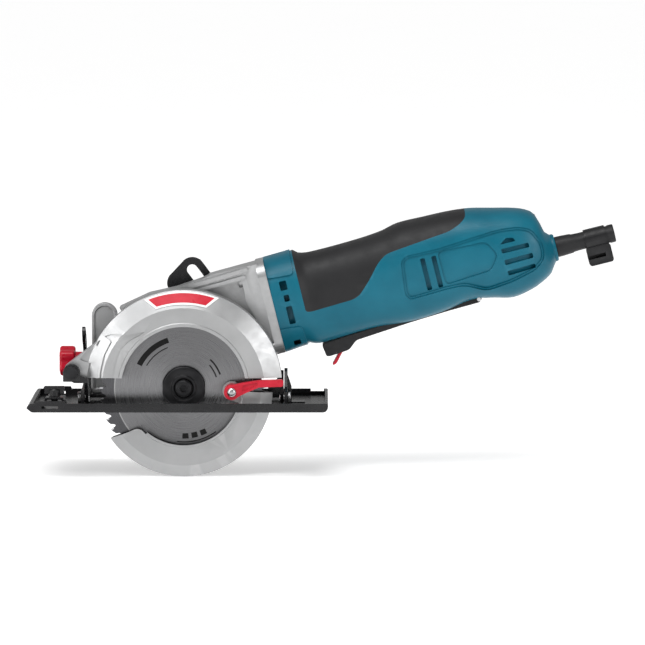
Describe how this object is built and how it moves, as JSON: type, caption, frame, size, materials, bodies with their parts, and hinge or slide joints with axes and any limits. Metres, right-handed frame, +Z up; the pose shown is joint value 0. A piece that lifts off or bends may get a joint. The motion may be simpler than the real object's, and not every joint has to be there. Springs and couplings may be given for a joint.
{
  "type": "circular saw",
  "caption": "Compact inline circular saw: tilting sole plate, swinging depth pivot, fixed and retracting guards, toothed blade, gear train, motor in a slim two-shell body with a grip.",
  "frame": {"origin": "centre of the sole plate's underside", "axes": "+Z up from the sole, +X to the rear along the sole, -Y the blade side"},
  "size_m": [0.4374, 0.12, 0.1969],
  "materials": {
    "black_paint": "satin black paint",
    "black_steel": "black oxide",
    "silver_casting": "fine cast, silver paint",
    "blade_steel": "radial brushed",
    "steel": "machined",
    "copper": "copper bars",
    "brass": "pressed",
    "red_plastic": "moulded",
    "teal_plastic": "fine texture",
    "black_plastic": "moulded",
    "grip_rubber": "soft overmould"
  },
  "bodies": {
    "base": {"base_plate": "black_paint", "bevel_quadrant": "black_paint", "rear_bevel_bracket": "black_paint", "front_bevel_pin": "steel", "rear_bevel_pin": "steel", "fence_clamp_bridge": "black_paint"},
    "fence_screw": {"fence_wing_screw": "black_plastic"},
    "tilt_frame": {"tilt_frame": "black_paint", "guide_cheek": "silver_casting", "depth_guide": "black_paint", "depth_pivot_pin": "black_steel", "bevel_stud": "steel"},
    "bevel_knob": {"bevel_knob": "red_plastic"},
    "saw_body": {"upper_guard": "silver_casting", "guard_label": "red_plastic", "gear_case": "silver_casting", "gear_case_cover": "silver_casting", "motor_housing_left": "teal_plastic", "motor_housing_right": "teal_plastic", "grip_overmold": "grip_rubber", "stator": "steel", "motor_front_bearing": "steel", "motor_rear_bearing": "steel", "brush_holder_left": "brass", "brush_holder_right": "brass", "switch_unit": "black_plastic", "paddle_pin": "steel", "cord_guard": "grip_rubber", "hex_key_holder": "black_plastic", "idler_pin": "steel", "spindle_front_bearing": "steel", "spindle_rear_bearing": "steel", "shaft_front_bearing": "steel", "shaft_rear_bearing": "steel", "guard_return_spring": "steel", "depth_lock_bolt": "steel"},
    "spindle": {"spindle": "steel", "inner_flange": "black_steel", "blade": "blade_steel", "outer_flange": "black_steel", "blade_bolt": "black_steel", "spindle_gear": "steel"},
    "idler": {"idler_gear": "steel"},
    "intermediate_shaft": {"intermediate_shaft": "steel", "bevel_gear": "steel", "spur_pinion": "steel"},
    "armature": {"armature_shaft": "steel", "rotor_core": "steel", "commutator": "copper", "cooling_fan": "black_plastic", "bevel_pinion": "steel"},
    "lower_guard": {"lower_guard": "silver_casting", "guard_lever": "red_plastic", "guard_lever_screw": "steel"},
    "paddle": {"paddle_switch": "black_plastic"},
    "lock_off": {"lock_off_lever": "red_plastic"},
    "spindle_lock": {"spindle_lock_button": "black_plastic"},
    "depth_lever": {"depth_lock_lever": "red_plastic"}
  },
  "joints": [
    {"name": "bevel_tilt", "type": "hinge", "parent": "base", "child": "tilt_frame", "pos_m": [0, -0.028, 0.008], "axis": [1, 0, 0], "range_deg": [0, 45]},
    {"name": "depth_swing", "type": "hinge", "parent": "tilt_frame", "child": "saw_body", "pos_m": [-0.0781, 0, 0.0282], "axis": [0, -1, 0], "range_deg": [0, 33]},
    {"name": "blade_spin", "type": "hinge", "parent": "saw_body", "child": "spindle", "pos_m": [0.0042, 0, 0.0155], "axis": [0, 1, 0], "continuous": true},
    {"name": "idler_turn", "type": "hinge", "parent": "saw_body", "child": "idler", "pos_m": [0.00189, 0, 0.03738], "axis": [0, 1, 0], "continuous": true},
    {"name": "shaft_turn", "type": "hinge", "parent": "saw_body", "child": "intermediate_shaft", "pos_m": [-0.00555, 0, 0.05486], "axis": [0, 1, 0], "continuous": true},
    {"name": "armature_turn", "type": "hinge", "parent": "saw_body", "child": "armature", "pos_m": [0.0712, 0.014, 0.074], "axis": [0.9703, 0, 0.2419], "continuous": true},
    {"name": "guard_retract", "type": "hinge", "parent": "saw_body", "child": "lower_guard", "pos_m": [0.0042, 0, 0.0155], "axis": [0, -1, 0], "range_deg": [0, 125], "stiffness_Nm_per_rad": 0.05, "springref_deg": -45.84},
    {"name": "paddle_press", "type": "hinge", "parent": "saw_body", "child": "paddle", "pos_m": [0.22361, 0.014, 0.07861], "axis": [0, 1, 0], "range_deg": [0, 3], "stiffness_Nm_per_rad": 8, "springref_deg": -2.86},
    {"name": "lock_off_push", "type": "hinge", "parent": "paddle", "child": "lock_off", "pos_m": [0.12056, 0.014, 0.04178], "axis": [0, 1, 0], "range_deg": [0, 20], "stiffness_Nm_per_rad": 0.05, "springref_deg": -17.19},
    {"name": "spindle_lock_press", "type": "slide", "parent": "saw_body", "child": "spindle_lock", "axis": [0, -1, 0], "range_m": [0, 0.003], "stiffness_N_per_m": 800, "springref_m": -0.004},
    {"name": "depth_lever_turn", "type": "hinge", "parent": "saw_body", "child": "depth_lever", "pos_m": [0.03384, 0, 0.03839], "axis": [0, -1, 0], "range_deg": [0, 60]},
    {"name": "bevel_knob_turn", "type": "hinge", "parent": "tilt_frame", "child": "bevel_knob", "pos_m": [-0.084, 0.01627, 0.03124], "axis": [1, 0, 0], "range_deg": [0, 180]},
    {"name": "fence_screw_turn", "type": "hinge", "parent": "base", "child": "fence_screw", "pos_m": [-0.091, -0.04, 0.01], "axis": [0, 0, 1], "range_deg": [0, 180]}
  ],
  "couplings": [
    {"joint": "idler_turn", "follows": "blade_spin", "ratio": -0.69231},
    {"joint": "shaft_turn", "follows": "blade_spin", "ratio": 1.5},
    {"joint": "armature_turn", "follows": "blade_spin", "ratio": 6.75}
  ]
}
